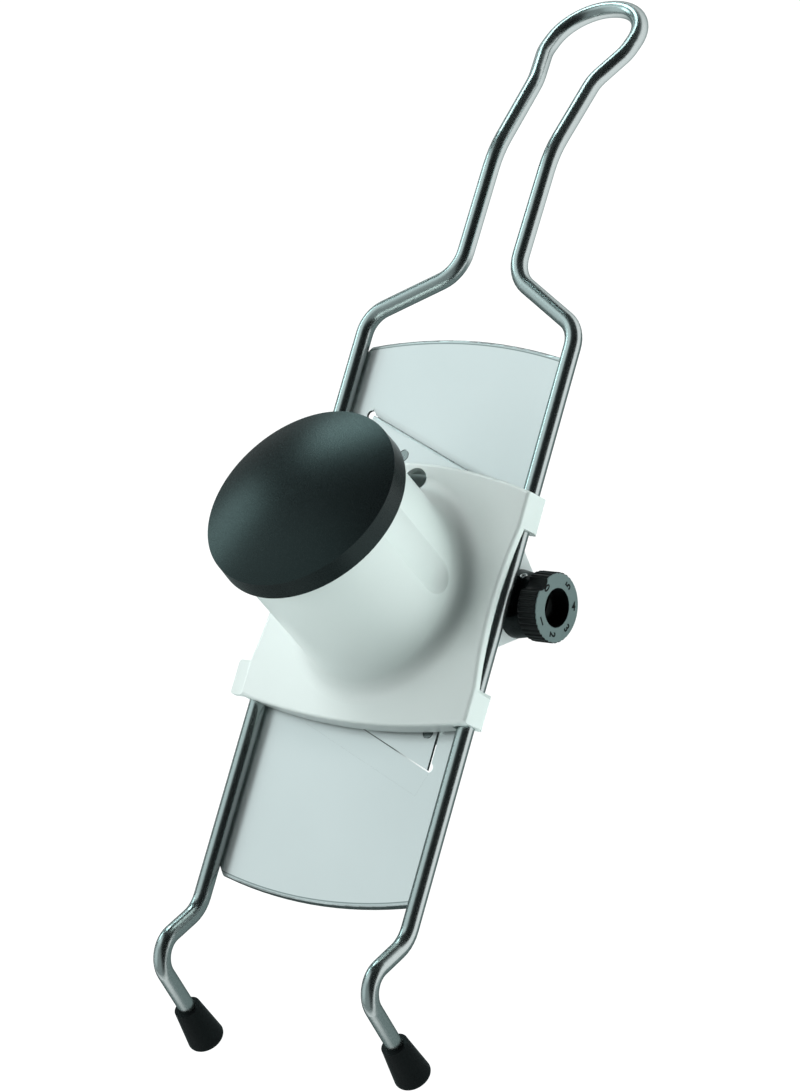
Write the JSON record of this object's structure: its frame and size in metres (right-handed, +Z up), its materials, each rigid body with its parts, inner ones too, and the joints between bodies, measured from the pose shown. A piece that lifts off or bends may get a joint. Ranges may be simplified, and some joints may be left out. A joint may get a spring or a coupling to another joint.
{
  "type": "mandoline slicer",
  "caption": "Wire-framed kitchen mandoline slicer with a sliding food carriage, a capped pusher in a tilted chute and a slice-thickness dial.",
  "frame": {"origin": "centre of the slicer's bounding box at its lowest level, under the handle loop's end", "axes": "+Y along the rails towards the handle, +X across them on the dial's side, +Z up, square to the tray"},
  "size_m": [0.1128, 0.3954, 0.1025],
  "materials": {
    "wire_steel": "satin drawn wire",
    "tray_steel": "polished sheet",
    "blade_steel": "ground",
    "bracket_steel": "plain",
    "fastener_steel": "plain",
    "cap_rubber": "matt",
    "black_plastic": "fine-grained matt",
    "dial_plastic": "matt",
    "white_plastic": "satin gloss",
    "nylon": "matt"
  },
  "bodies": {
    "frame": {"wire_frame": "wire_steel", "foot_cap_left": "cap_rubber", "foot_cap_right": "cap_rubber", "tray": "tray_steel", "tray_welds": "fastener_steel", "blade": "blade_steel", "blade_clamp_bar": "bracket_steel", "blade_rivets": "fastener_steel", "tray_hinge_leaves": "bracket_steel", "hinge_pin": "fastener_steel", "inner_bearing_ear": "bracket_steel", "outer_bearing_ear": "bracket_steel", "shaft_bushes": "nylon", "dial_housing": "dial_plastic", "housing_screws": "fastener_steel"},
    "platform": {"feed_platform": "tray_steel", "platform_hinge_leaves": "bracket_steel", "platform_ribs": "bracket_steel", "platform_rivets": "tray_steel", "follower_pads": "nylon"},
    "dial": {"cam_shaft": "fastener_steel", "lift_cams": "nylon", "cam_pins": "fastener_steel", "shaft_clip": "fastener_steel", "dial_knob": "dial_plastic", "dial_screw": "fastener_steel"},
    "carriage": {"carriage": "white_plastic"},
    "pusher": {"pusher_cap": "black_plastic", "pusher_cup": "white_plastic", "pusher_prongs": "fastener_steel", "pusher_screw": "fastener_steel"}
  },
  "joints": [
    {"name": "dial_turn", "type": "hinge", "parent": "frame", "child": "dial", "pos_m": [0.0525, -0.02995, 0.0187], "axis": [-1, 0, 0], "range_deg": [0, 282]},
    {"name": "platform_tilt", "type": "hinge", "parent": "frame", "child": "platform", "pos_m": [-0.0019, 0.0171, 0.0265], "axis": [0.9397, -0.342, 0], "range_deg": [0, 3.07]},
    {"name": "carriage_slide", "type": "slide", "parent": "frame", "child": "carriage", "axis": [0, 1, 0], "range_m": [-0.066, 0.05]},
    {"name": "pusher_slide", "type": "slide", "parent": "carriage", "child": "pusher", "axis": [0, 0.2756, 0.9613], "range_m": [0, 0.045]}
  ],
  "couplings": [
    {"joint": "platform_tilt", "follows": "dial_turn", "ratio": 0.010878}
  ]
}
